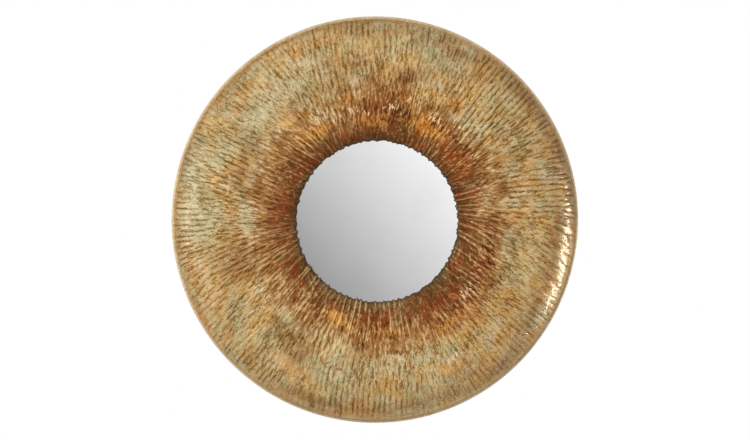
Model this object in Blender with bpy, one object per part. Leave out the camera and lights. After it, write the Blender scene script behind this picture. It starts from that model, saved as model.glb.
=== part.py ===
"""A large round wall mirror: a domed ring of ribbed sheet iron around a small round glass.

The mirror faces -Y and hangs on a wall whose surface is the plane y = 0. Heights below are
distances in front of that wall, so a height h lies at y = -h. The origin is on the back of the
hanging strap, midway between its two keyholes. Metres, +Z up.
"""

import math

import bmesh
import bpy
from mathutils import Matrix

# Frame outline
RIM_RADIUS = 0.400
OPENING_RADIUS = 0.159
OPENING_RIGHT = 0.0045
OPENING_DOWN = 0.0035
CREST_RADIUS = 0.285
CREST_HEIGHT = 0.082

# Sheet iron, its rolled rim and the ribs chased into it
SHEET = 0.0015
RIM_WIDTH = 0.0065
RIM_HEIGHT = 0.0048
RIB_HEIGHT = 0.0022
RIBS = 96
ROWS = 7
RIB_SHARE = 0.68
BACK_COLUMNS = 64

# Seat behind the opening, and what it holds
LIP_DEPTH = 0.0040
SEAT_WIDTH = 0.025
GLASS_BACK_HEIGHT = 0.0115
GLASS_THICKNESS = 0.003
GLASS_COVER = 0.011
BOARD_THICKNESS = 0.003
BOARD_MARGIN = 0.002
DISC_SEGMENTS = 64

# Bent tabs that hold the board
CLIPS = 6
CLIP_WIDTH = 0.014
CLIP_SHEET = 0.0012
CLIP_OVERLAP = 0.008
CLIP_FOOT = 0.0075
CLIP_SIDE_PLAY = 0.0025

# Strap across the back, and the keyholes for the wall screws
STRAP_BELOW_TOP = 0.055
STRAP_WIDTH = 0.030
STRAP_THICKNESS = 0.003
STRAP_END_STEPS = 4
KEYHOLE_SPACING = 0.180
KEYHOLE_DROP = 0.004
KEYHOLE_RADIUS = 0.0060
SLOT_RADIUS = 0.0029
SLOT_RISE = 0.0095
KEYHOLE_ARC_STEPS = 8

# Gap between pieces that touch, and how far a cutter passes a face
GAP = 0.0003
CUT_MARGIN = 0.002

COLUMNS = 2 * RIBS
STRAP_RISE = RIM_RADIUS - STRAP_BELOW_TOP
RING_CENTRE_Z = -STRAP_RISE
OPENING_X = OPENING_RIGHT
OPENING_Z = RING_CENTRE_Z - OPENING_DOWN
GLASS_FRONT_HEIGHT = GLASS_BACK_HEIGHT + GLASS_THICKNESS
GLASS_RADIUS = OPENING_RADIUS + GLASS_COVER
BOARD_RADIUS = GLASS_RADIUS + BOARD_MARGIN
BOARD_BACK_HEIGHT = GLASS_BACK_HEIGHT - GAP - BOARD_THICKNESS
SEAT_HEIGHT = GLASS_FRONT_HEIGHT + GAP
SEAT_RADIUS = OPENING_RADIUS + SEAT_WIDTH
LIP_HEIGHT = SEAT_HEIGHT + LIP_DEPTH
FOOT_RADIUS = RIM_RADIUS - RIM_WIDTH
FOOT_HEIGHT = 0.6 * RIM_HEIGHT
INSIDE_FOOT_RADIUS = FOOT_RADIUS - SHEET


def new_object(name, bm, material, parent):
    """Turns the finished bmesh into an object with that material."""
    mesh = bpy.data.meshes.new(name)
    bm.to_mesh(mesh)
    bm.free()
    mesh.materials.append(material)
    obj = bpy.data.objects.new(name, mesh)
    bpy.context.scene.collection.objects.link(obj)
    obj.parent = parent
    return obj


def new_material(name, colour, roughness, metallic):
    material = bpy.data.materials.new(name)
    material.use_nodes = True
    shader = material.node_tree.nodes["Principled BSDF"]
    shader.inputs["Base Color"].default_value = (*colour, 1.0)
    shader.inputs["Roughness"].default_value = roughness
    shader.inputs["Metallic"].default_value = metallic
    return material


def ring_point(radius, height, angle):
    """A point of the frame. Rings drift from the rim's centre to the opening's as they get smaller."""
    drift = min(1.0, (RIM_RADIUS - radius) / (RIM_RADIUS - SEAT_RADIUS))
    x = radius * math.cos(angle) + drift * OPENING_X
    z = radius * math.sin(angle) + RING_CENTRE_Z + drift * (OPENING_Z - RING_CENTRE_Z)
    return x, -height, z


def face_point(turn):
    """(radius, height) and outward direction of the domed face, at 0 for the lip and 1 for its foot."""
    angle = math.pi * turn
    inner = turn < 0.5
    width = CREST_RADIUS - OPENING_RADIUS if inner else FOOT_RADIUS - CREST_RADIUS
    base = LIP_HEIGHT if inner else FOOT_HEIGHT
    rise = CREST_HEIGHT - base
    across = -math.cos(angle)
    up = math.sin(angle)
    out = across / width, up / rise
    length = math.hypot(*out)
    point = CREST_RADIUS + width * across, base + rise * up
    return point, (out[0] / length, out[1] / length)


def rib_rings():
    """(turn, row) for the two ends of the ribs in each row, from the lip to the foot."""
    rings = []
    for row in range(ROWS):
        start = row + (1 - RIB_SHARE) / 2 if row else 0.0
        end = row + (1 + RIB_SHARE) / 2 if row < ROWS - 1 else ROWS
        rings.append((start / ROWS, row))
        rings.append((end / ROWS, row))
    return rings


def add_ring(bm, columns, radius, height, lift=(0.0, 0.0), row=0):
    """A ring of points, where each second one is lifted and neighbouring rows lift the other half."""
    ring = []
    for column in range(columns):
        raised = (column + row) % 2 == 0
        r = radius + (lift[0] if raised else 0.0)
        h = height + (lift[1] if raised else 0.0)
        ring.append(bm.verts.new(ring_point(r, h, 2 * math.pi * column / columns)))
    return ring


def join_rings(bm, first, second):
    """Faces between two rings, of which one may have a whole number of times the other's points."""
    fine, coarse = (first, second) if len(first) > len(second) else (second, first)
    ratio = len(fine) // len(coarse)
    for i in range(len(coarse)):
        a = coarse[i]
        b = coarse[(i + 1) % len(coarse)]
        steps = [fine[(i * ratio + k) % len(fine)] for k in range(ratio + 1)]
        if ratio == 1:
            bm.faces.new((a, b, steps[1], steps[0]))
            continue
        middle = ratio // 2
        for k in range(ratio):
            bm.faces.new((a if k < middle else b, steps[k + 1], steps[k]))
        bm.faces.new((a, b, steps[middle]))


def make_frame(material, parent):
    """The domed ring: chased face, rolled rim, smooth back, and the seat turned out behind the lip."""
    bm = bmesh.new()
    front = []
    back = []
    for turn, row in rib_rings():
        (radius, height), out = face_point(turn)
        lift = out[0] * RIB_HEIGHT, out[1] * RIB_HEIGHT
        if turn == 1.0:
            lift = 0.0, 0.0
        front.append(add_ring(bm, COLUMNS, radius, height, lift, row))
        back.append(add_ring(bm, BACK_COLUMNS, radius - out[0] * SHEET, height - out[1] * SHEET))

    lip_edge = add_ring(bm, COLUMNS, OPENING_RADIUS, SEAT_HEIGHT + SHEET / 2, (-RIB_HEIGHT, 0.0))
    seat = [
        add_ring(bm, BACK_COLUMNS, OPENING_RADIUS + SHEET / 2, SEAT_HEIGHT),
        add_ring(bm, BACK_COLUMNS, SEAT_RADIUS, SEAT_HEIGHT),
        add_ring(bm, BACK_COLUMNS, SEAT_RADIUS, SEAT_HEIGHT + SHEET),
        add_ring(bm, BACK_COLUMNS, OPENING_RADIUS + 1.6 * SHEET, SEAT_HEIGHT + SHEET),
    ]
    rim = [
        add_ring(bm, COLUMNS, RIM_RADIUS - RIM_WIDTH / 2, RIM_HEIGHT),
        add_ring(bm, BACK_COLUMNS, RIM_RADIUS, 0.7 * RIM_HEIGHT),
        add_ring(bm, BACK_COLUMNS, RIM_RADIUS, 0.3 * RIM_HEIGHT),
        add_ring(bm, BACK_COLUMNS, RIM_RADIUS - 0.2 * RIM_WIDTH, 0.0),
        add_ring(bm, BACK_COLUMNS, INSIDE_FOOT_RADIUS, 0.0),
    ]
    loop = front + rim + back[::-1] + seat[::-1] + [lip_edge]
    for first, second in zip(loop, loop[1:] + loop[:1]):
        join_rings(bm, first, second)
    bmesh.ops.recalc_face_normals(bm, faces=bm.faces)
    frame = new_object("frame", bm, material, parent)
    frame.data.shade_smooth()
    frame.data.set_sharp_from_angle(angle=math.radians(50))
    return frame


def make_disc(name, radius, back_height, thickness, material, parent):
    """A round plate centred on the opening, its back at that height in front of the wall."""
    bm = bmesh.new()
    bmesh.ops.create_cone(
        bm,
        cap_ends=True,
        segments=DISC_SEGMENTS,
        radius1=radius,
        radius2=radius,
        depth=thickness,
        matrix=Matrix.Rotation(math.pi / 2, 4, "X"),
    )
    disc = new_object(name, bm, material, parent)
    disc.location = OPENING_X, -(back_height + thickness / 2), OPENING_Z
    disc.data.shade_smooth()
    disc.data.set_sharp_from_angle(angle=math.radians(30))
    return disc


def extruded(bm, outline, height_from, height_to):
    """A plate with that outline of (x, z) points, between two heights in front of the wall."""
    face = bm.faces.new([bm.verts.new((x, -height_from, z)) for x, z in outline])
    made = bmesh.ops.extrude_face_region(bm, geom=[face])
    moved = [item for item in made["geom"] if isinstance(item, bmesh.types.BMVert)]
    bmesh.ops.translate(bm, verts=moved, vec=(0.0, height_from - height_to, 0.0))
    bmesh.ops.recalc_face_normals(bm, faces=bm.faces)


def make_clips(material, parent):
    """Z-shaped tabs: each foot lies on the back of the seat, and each arm reaches over the board."""
    inside = BOARD_RADIUS + CLIP_SIDE_PLAY
    foot_top = SEAT_HEIGHT - GAP
    arm_top = BOARD_BACK_HEIGHT - GAP
    section = [
        (BOARD_RADIUS - CLIP_OVERLAP, arm_top),
        (inside, arm_top),
        (inside, foot_top),
        (inside + CLIP_FOOT, foot_top),
        (inside + CLIP_FOOT, foot_top - CLIP_SHEET),
        (inside + CLIP_SHEET, foot_top - CLIP_SHEET),
        (inside + CLIP_SHEET, arm_top - CLIP_SHEET),
        (BOARD_RADIUS - CLIP_OVERLAP, arm_top - CLIP_SHEET),
    ]
    bm = bmesh.new()
    face = bm.faces.new([bm.verts.new((r, -h, -CLIP_WIDTH / 2)) for r, h in section])
    made = bmesh.ops.extrude_face_region(bm, geom=[face])
    moved = [item for item in made["geom"] if isinstance(item, bmesh.types.BMVert)]
    bmesh.ops.translate(bm, verts=moved, vec=(0.0, 0.0, CLIP_WIDTH))
    bmesh.ops.recalc_face_normals(bm, faces=bm.faces)
    first = new_object("board_clip_1", bm, material, parent)
    clips = [first]
    for number in range(2, CLIPS + 1):
        clip = bpy.data.objects.new(f"board_clip_{number}", first.data)
        bpy.context.scene.collection.objects.link(clip)
        clip.parent = parent
        clips.append(clip)
    for i, clip in enumerate(clips):
        clip.location = OPENING_X, 0.0, OPENING_Z
        clip.rotation_euler = 0.0, -2 * math.pi * (i + 0.5) / CLIPS, 0.0
    return clips


def strap_outline():
    """The strap's (x, z) outline: straight edges, and ends that follow the inside of the rim."""
    reach = INSIDE_FOOT_RADIUS * math.cos(math.pi / BACK_COLUMNS) - GAP
    right = []
    for step in range(STRAP_END_STEPS + 1):
        z = STRAP_WIDTH * (step / STRAP_END_STEPS - 0.5)
        right.append((math.sqrt(reach**2 - (STRAP_RISE + z) ** 2), z))
    left = [(-x, z) for x, z in reversed(right)]
    return right + left


def keyhole_outline(centre_x):
    """Round entry hole with a narrower slot that rises from it and ends in a half circle."""
    points = []
    meet = math.acos(SLOT_RADIUS / KEYHOLE_RADIUS)
    sweep = 2 * math.pi - (math.pi - 2 * meet)
    for step in range(2 * KEYHOLE_ARC_STEPS + 1):
        angle = meet - sweep * step / (2 * KEYHOLE_ARC_STEPS)
        x = centre_x + KEYHOLE_RADIUS * math.cos(angle)
        points.append((x, KEYHOLE_RADIUS * math.sin(angle) - KEYHOLE_DROP))
    for step in range(KEYHOLE_ARC_STEPS + 1):
        angle = math.pi - math.pi * step / KEYHOLE_ARC_STEPS
        x = centre_x + SLOT_RADIUS * math.cos(angle)
        points.append((x, SLOT_RISE + SLOT_RADIUS * math.sin(angle) - KEYHOLE_DROP))
    return points


def make_strap(material, parent):
    """A flat bar across the back of the ring near its top, with two keyholes for wall screws."""
    bm = bmesh.new()
    extruded(bm, strap_outline(), 0.0, STRAP_THICKNESS)
    strap = new_object("hanging_strap", bm, material, parent)
    for side in (-1, 1):
        cutter_bm = bmesh.new()
        outline = keyhole_outline(side * KEYHOLE_SPACING / 2)
        extruded(cutter_bm, outline, -CUT_MARGIN, STRAP_THICKNESS + CUT_MARGIN)
        cutter = new_object(f"keyhole_cutter_{1 if side < 0 else 2}", cutter_bm, material, parent)
        cutter.hide_render = True
        cutter.display_type = "WIRE"
        cut = strap.modifiers.new("keyhole", "BOOLEAN")
        cut.operation = "DIFFERENCE"
        cut.object = cutter
    return strap


def main():
    for obj in list(bpy.data.objects):
        bpy.data.objects.remove(obj)

    patina = new_material("patinated_iron", (0.42, 0.30, 0.16), 0.45, 0.6)
    silvered = new_material("mirror_glass", (0.90, 0.91, 0.91), 0.02, 1.0)
    hardboard = new_material("hardboard", (0.10, 0.06, 0.035), 0.8, 0.0)
    black_iron = new_material("black_iron", (0.04, 0.038, 0.036), 0.5, 0.5)

    mirror = bpy.data.objects.new("wall_mirror", None)
    bpy.context.scene.collection.objects.link(mirror)

    make_frame(patina, mirror)
    make_disc("mirror_glass", GLASS_RADIUS, GLASS_BACK_HEIGHT, GLASS_THICKNESS, silvered, mirror)
    make_disc(
        "backing_board", BOARD_RADIUS, BOARD_BACK_HEIGHT, BOARD_THICKNESS, hardboard, mirror
    )
    make_clips(black_iron, mirror)
    make_strap(black_iron, mirror)


main()
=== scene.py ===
import math

import bmesh
import bpy
import numpy as np
from mathutils import Matrix, Vector


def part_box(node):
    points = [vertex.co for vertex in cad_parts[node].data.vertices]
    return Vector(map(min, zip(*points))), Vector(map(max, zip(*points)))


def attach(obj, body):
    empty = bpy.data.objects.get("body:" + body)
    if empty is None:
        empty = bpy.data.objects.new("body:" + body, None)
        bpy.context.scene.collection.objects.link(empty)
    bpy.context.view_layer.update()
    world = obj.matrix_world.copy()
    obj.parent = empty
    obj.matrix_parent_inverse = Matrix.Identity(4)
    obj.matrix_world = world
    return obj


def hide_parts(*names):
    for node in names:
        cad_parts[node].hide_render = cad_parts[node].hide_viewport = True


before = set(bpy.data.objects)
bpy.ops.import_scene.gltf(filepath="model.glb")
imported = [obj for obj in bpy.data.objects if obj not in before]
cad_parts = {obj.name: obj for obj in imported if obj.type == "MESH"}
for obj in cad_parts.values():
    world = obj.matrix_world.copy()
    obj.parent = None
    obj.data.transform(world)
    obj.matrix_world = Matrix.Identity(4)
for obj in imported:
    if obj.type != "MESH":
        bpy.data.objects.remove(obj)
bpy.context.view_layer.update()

# The camera stands square to the mirror, 3.2 m from the wall and level with the ring's centre.
# The glass opening sits a little right of and below that centre, as the maker cut it.
PHOTO_WIDTH = 750
RIM_ACROSS_PIXELS = 406.3
RING_LEFT_OF_MIDDLE_PIXELS = 0.1
RING_ABOVE_MIDDLE_PIXELS = 0.4
CAMERA_DISTANCE = 3.2
SENSOR_WIDTH = 36.0

ring_low, ring_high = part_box("frame")
ring_radius = (ring_high.x - ring_low.x) / 2
ring_centre = (ring_low + ring_high) / 2
metres_per_pixel = 2 * ring_radius / RIM_ACROSS_PIXELS


def placed(name, data):
    """Adds data to the scene as an object at the origin."""
    thing = bpy.data.objects.new(name, data)
    bpy.context.scene.collection.objects.link(thing)
    return thing


camera = placed("camera", bpy.data.cameras.new("camera"))
bpy.context.scene.camera = camera
camera.data.sensor_width = SENSOR_WIDTH
camera.data.lens = SENSOR_WIDTH * CAMERA_DISTANCE / (PHOTO_WIDTH * metres_per_pixel)
camera.location = (
    ring_centre.x + RING_LEFT_OF_MIDDLE_PIXELS * metres_per_pixel,
    -CAMERA_DISTANCE,
    ring_centre.z - RING_ABOVE_MIDDLE_PIXELS * metres_per_pixel,
)
camera.rotation_euler = (math.pi / 2, 0.0, 0.0)
bpy.context.scene.view_settings.view_transform = "Standard"


# The domed ring is one round of sheet iron, raised over a stake and chased all over from the
# front with a blunt chisel. Rows of short ribs stand proud, each row staggered against the next.
# The rim is rolled to a narrow bead, and the lip is turned out behind the face as a seat.
SHEET = 0.0015
GLASS_COVER = 0.011
SEAT_WIDTH = 0.025
LIP_DEPTH = 0.0040
CAD_RIB_HEIGHT = 0.0022
CREST_RADIUS = 0.285
RIM_WIDTH = 0.0065
RIM_HEIGHT = 0.0048
RIM_EDGE = 0.0009
RIM_UNDERCUT = 0.0010
BEAD_FULLNESS = 0.8
FOOT_ON_BEAD = 0.96
LIP_BEND = 1.6
SEAT_EDGE = 0.0004
GLASS_GAP = 0.0003
COLUMNS = 1080
FACE_RINGS = 62
RIM_STEPS = 6
BACK_RINGS = 16
DOME_SHARP_DEGREES = 70
# Where each row of strokes starts and ends on the way from the lip (0) to the outer edge (1).
# Round the lip the chisel left thin ribs standing, and further out it cut short grooves.
RIB_ROWS = ((-0.12, 0.190), (0.140, 0.260), (0.215, 0.320), (0.285, 0.385), (0.350, 0.450))
GROOVE_ROWS = (
    (0.150, 0.225),
    (0.205, 0.280),
    (0.260, 0.335),
    (0.315, 0.390),
    (0.370, 0.445),
    (0.425, 0.500),
    (0.480, 0.555),
    (0.535, 0.615),
    (0.590, 0.675),
    (0.650, 0.740),
    (0.715, 0.815),
    (0.785, 0.890),
    (0.850, 0.970),
)
STROKE_SPACING_AT_LIP = 0.0093
STROKE_SPACING_AT_RIM = 0.0109
RIB_HEIGHT = 0.0021
RIB_WIDTH = 0.22
GROOVE_DEPTH = 0.0012
GROOVE_WIDTH = 0.16
STROKE_STEEPNESS = 1.6
STROKE_END_TAPER = 0.020
STROKE_SIDEWAYS = 0.13
STROKE_SHIFT = 0.24
STROKE_STRETCH = (0.75, 1.45)
STROKE_STRENGTH = (0.45, 1.0)
STROKE_TILT = 0.045
RIBS_END = 0.50
RIBS_END_FADE = 0.30
GROOVES_START = 0.12
GROOVES_START_FADE = 0.15
GROOVES_END = 0.972
GROOVES_END_FADE = 0.02
SCALLOP_DEPTH = 0.0013
SCALLOP_WIDTH = 0.56
LOBES = 52
LOBE_DEPTH = 0.0009
LOBES_DRIFT = 2.2
LIP_INWARDS = 0.0004
LIP_REACH = 0.035
DENT_HEIGHT = 0.0010
SMALL_DENT_SHARE = 0.4
DENTS_START_FADE = 0.1
DENTS_END = 0.955
DENTS_END_FADE = 0.04
BACK_RELIEF_SHARE = 0.3
# Azimuths here and below are in degrees, counterclockwise from the right as seen from the front.
# Two patches by the lip lie smoother: azimuth, half width, how far out, and how much smoother.
SMOOTH_PATCHES = ((305, 21, 0.20, 0.90), (170, 20, 0.27, 0.50))
PATCH_EDGE_DEGREES = 7.0
PATCH_EDGE_SHARE = 0.05
# How the strokes lean and how hard ribs and grooves were struck, and the places where they lean
# more or were struck harder or softer: azimuth, width in degrees, how much.
LEAN_VARIES = 0.10
LEANS = ((212, 22, 0.30), (352, 14, -0.35), (20, 12, -0.20))
BLOW_VARIES = 0.18
SOFTEST_BLOW = 0.25
HARDEST_BLOW = 1.25
RIBS_STRUCK = 0.80
GROOVES_STRUCK = 0.85
RIBS_HARDER = ((240, 45, 0.35), (350, 28, 0.40), (95, 48, -0.40))
GROOVES_HARDER = (
    (178, 28, 0.35),
    (0, 22, 0.30),
    (44, 24, 0.25),
    (138, 16, -0.35),
    (300, 14, -0.25),
)

glass_low, glass_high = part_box("mirror_glass")
opening_centre = (glass_low + glass_high) / 2
opening_radius = (glass_high.x - glass_low.x) / 2 - GLASS_COVER
seat_height = -glass_low.y + GLASS_GAP
lip_height = seat_height + LIP_DEPTH
crest_height = -ring_low.y - CAD_RIB_HEIGHT
foot_radius = ring_radius - RIM_WIDTH
foot_height = FOOT_ON_BEAD * RIM_HEIGHT
seat_radius = opening_radius + SEAT_WIDTH
way_across = ring_radius - opening_radius


def face_at(turn):
    """Radius, height and outward direction of the domed face from lip (0) to foot (1)."""
    angle = np.pi * turn
    inner = turn < 0.5
    width = np.where(inner, CREST_RADIUS - opening_radius, foot_radius - CREST_RADIUS)
    base = np.where(inner, lip_height, foot_height)
    rise = crest_height - base
    out_r = -np.cos(angle) / width
    out_h = np.sin(angle) / rise
    length = np.hypot(out_r, out_h)
    radius = CREST_RADIUS - width * np.cos(angle)
    height = base + rise * np.sin(angle)
    return radius, height, out_r / length, out_h / length


def even_turns(count):
    """Turns of the face that lie evenly along its curve, and the curve's length."""
    fine = np.linspace(0.0, 1.0, 2000)
    radius, height, _, _ = face_at(fine)
    along = np.concatenate(([0.0], np.cumsum(np.hypot(np.diff(radius), np.diff(height)))))
    return np.interp(np.linspace(0.0, along[-1], count), along, fine), along[-1]


def smoothstep(value):
    """An even rise from 0 to 1 with soft ends, for values from 0 to 1."""
    value = np.clip(value, 0.0, 1.0)
    return value * value * (3.0 - 2.0 * value)


def waves(angle, share, seed, around=9, bits=12):
    """Soft unevenness of about -1 to 1 that closes up round the ring."""
    rng = np.random.default_rng(seed)
    total = np.zeros_like(angle)
    for _ in range(bits):
        turns = rng.integers(1, around)
        total += np.sin(turns * angle + rng.uniform(6, 27) * share + rng.uniform(0, 2 * np.pi))
    return total / math.sqrt(bits)


def degrees_from(azimuth, angle):
    """How many degrees each angle lies from an azimuth, from -180 to 180."""
    return (np.degrees(angle) - azimuth + 180) % 360 - 180


def lean_at(angle):
    """How far the strokes lean sideways for each step outwards, as drawn by a tired hand."""
    lean = LEAN_VARIES * waves(angle, 0.0, seed=5, around=7)
    for azimuth, wide, slope in LEANS:
        lean = lean + slope * np.exp(-((degrees_from(azimuth, angle) / wide) ** 2))
    return lean


def strokes_at(rows, wide, seed, angle, share, radius):
    """How near each point is to a chisel stroke's middle, from 0 to 1, and that stroke's chance."""
    nearness = np.zeros_like(angle)
    chance = np.zeros_like(angle)
    for row, (start, end) in enumerate(rows):
        rng = np.random.default_rng(seed + row)
        middle = (start + end) / 2
        spacing = STROKE_SPACING_AT_LIP + middle * (STROKE_SPACING_AT_RIM - STROKE_SPACING_AT_LIP)
        count = round(2 * math.pi * (opening_radius + middle * way_across) / spacing)
        sideways = rng.uniform(-STROKE_SIDEWAYS, STROKE_SIDEWAYS, count)
        shift = rng.normal(0.0, STROKE_SHIFT, count) * (end - start)
        stretch = rng.uniform(*STROKE_STRETCH, count)
        strength = rng.uniform(*STROKE_STRENGTH, count)
        tilt = rng.normal(0.0, STROKE_TILT, count)
        luck = rng.uniform(-1.0, 1.0, count)
        near = angle / (2 * np.pi) * count
        for offset in (-1, 0, 1):
            index = np.floor(near).astype(int) + offset
            stroke = index % count
            centre = (index + 0.5 + sideways[stroke]) * 2 * np.pi / count
            stroke_middle = middle + shift[stroke]
            slide = (share - stroke_middle) * way_across
            across = (angle - centre) * radius - slide * (lean_at(centre) + tilt[stroke])
            section = np.exp(-((across / (wide * spacing)) ** 2) * STROKE_STEEPNESS)
            half = (end - start) / 2 * stretch[stroke]
            ends = smoothstep((half - np.abs(share - stroke_middle)) / STROKE_END_TAPER)
            form = section * ends * strength[stroke]
            chance = np.where(form > nearness, luck[stroke] * np.minimum(1.0, 2.0 * form), chance)
            nearness = np.maximum(nearness, form)
    return nearness, chance


def ring_place(radius, height, angle):
    """Places a point. Rings drift from the rim's centre to the opening's as they get smaller."""
    drift = np.clip((ring_radius - radius) / (ring_radius - seat_radius), 0.0, 1.0)
    x = radius * np.cos(angle) + ring_centre.x + drift * (opening_centre.x - ring_centre.x)
    z = radius * np.sin(angle) + ring_centre.z + drift * (opening_centre.z - ring_centre.z)
    return np.stack((x, -height, z), axis=-1)


# The ring's section, as (zone, turn along the face, radius, height), starts and ends at the lip.
FACE, RIM, BACK, SEAT, EDGE = range(5)
face_turns, face_length = even_turns(FACE_RINGS)
back_turns, _ = even_turns(BACK_RINGS)
section = [(FACE, turn, 0.0, 0.0) for turn in face_turns]
for step in range(1, RIM_STEPS + 1):
    angle = 0.5 * math.pi * (1.0 - step / RIM_STEPS)
    bead_radius = foot_radius + RIM_WIDTH * math.cos(angle)
    bead_height = RIM_EDGE + (foot_height - RIM_EDGE) * math.sin(angle) ** BEAD_FULLNESS
    section.append((RIM, 1.0, bead_radius, bead_height))
section.append((RIM, 1.0, ring_radius - RIM_UNDERCUT, 0.0))
section.append((RIM, 1.0, foot_radius - SHEET, 0.0))
section += [(BACK, turn, 0.0, 0.0) for turn in back_turns[::-1]]
section.append((SEAT, 0.0, opening_radius + LIP_BEND * SHEET, seat_height + SHEET))
section.append((SEAT, 0.0, seat_radius - SEAT_EDGE, seat_height + SHEET))
section.append((SEAT, 0.0, seat_radius, seat_height + SHEET / 2))
section.append((SEAT, 0.0, seat_radius - SEAT_EDGE, seat_height))
section.append((SEAT, 0.0, opening_radius + SHEET, seat_height))
section.append((EDGE, 0.0, opening_radius, seat_height + SHEET / 2))
section.append(section[0])
section = np.array(section)

bm = bmesh.new()
bmesh.ops.create_grid(bm, x_segments=COLUMNS, y_segments=len(section) - 1, size=1.0)
dome_mesh = bpy.data.meshes.new("domed_ring")
bm.to_mesh(dome_mesh)
count = len(dome_mesh.vertices)
flat = np.empty(count * 3, np.float32)
dome_mesh.vertices.foreach_get("co", flat)
across, up = flat.reshape(-1, 3)[:, 0], flat.reshape(-1, 3)[:, 1]
around = np.rint((across + 1) / 2 * COLUMNS) % COLUMNS * 2 * np.pi / COLUMNS
zone, turn, radius, height = section[np.rint((up + 1) / 2 * (len(section) - 1)).astype(int)].T

face_r, face_h, out_r, out_h = face_at(turn)
on_face, on_back = zone == FACE, zone == BACK
radius = np.where(on_face, face_r, np.where(on_back, face_r - out_r * SHEET, radius))
height = np.where(on_face, face_h, np.where(on_back, face_h - out_h * SHEET, height))
share = np.clip((radius - opening_radius) / way_across, 0.0, 1.0)

ridge, chance = strokes_at(RIB_ROWS, RIB_WIDTH, 100, around, share, radius)
groove, groove_chance = strokes_at(GROOVE_ROWS, GROOVE_WIDTH, 200, around, share, radius)
for azimuth, wide, reach, smoothed in SMOOTH_PATCHES:
    within = smoothstep((wide - np.abs(degrees_from(azimuth, around))) / PATCH_EDGE_DEGREES)
    ridge = ridge * (1.0 - smoothed * within * smoothstep((reach - share) / PATCH_EDGE_SHARE))
ridge = ridge * smoothstep((RIBS_END - share) / RIBS_END_FADE)
groove = groove * smoothstep((share - GROOVES_START) / GROOVES_START_FADE)
groove = groove * smoothstep((GROOVES_END - share) / GROOVES_END_FADE)


def heavier(start, places):
    """How hard the hand struck: a start value, and more or less of it round some azimuths."""
    total = start + BLOW_VARIES * waves(around, share, seed=21, around=12)
    for azimuth, wide, more in places:
        total = total + more * np.exp(-((degrees_from(azimuth, around) / wide) ** 2))
    return np.clip(total, SOFTEST_BLOW, HARDEST_BLOW)


groove = groove * heavier(GROOVES_STRUCK, GROOVES_HARDER)
ridge = ridge * heavier(RIBS_STRUCK, RIBS_HARDER)
fade = smoothstep(share / DENTS_START_FADE)
fade = fade * smoothstep((DENTS_END - share) / DENTS_END_FADE)
broad_dents = waves(around, share, seed=11, around=26, bits=22) * DENT_HEIGHT * fade
small_dents = waves(around, 3.0 * share, seed=12, around=70, bits=30)
small_dents = small_dents * DENT_HEIGHT * SMALL_DENT_SHARE * fade
scallops, _ = strokes_at(RIB_ROWS[:1], SCALLOP_WIDTH, 100, around, 0.0 * share, opening_radius)
lobes = np.sin(LOBES * around + LOBES_DRIFT * waves(around, 0.0 * share, seed=31))
rise = ridge * RIB_HEIGHT - groove * GROOVE_DEPTH
back_lift = np.where(on_back, broad_dents + BACK_RELIEF_SHARE * rise, 0.0)
lift = np.where(on_face, rise + broad_dents + small_dents, back_lift)
radius = radius + lift * out_r
at_lip = np.where(on_face | (zone == EDGE), smoothstep((LIP_REACH - share) / LIP_REACH), 0.0)
radius = radius - (scallops * SCALLOP_DEPTH + lobes * LOBE_DEPTH + LIP_INWARDS) * at_lip
height = height + lift * out_h

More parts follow.
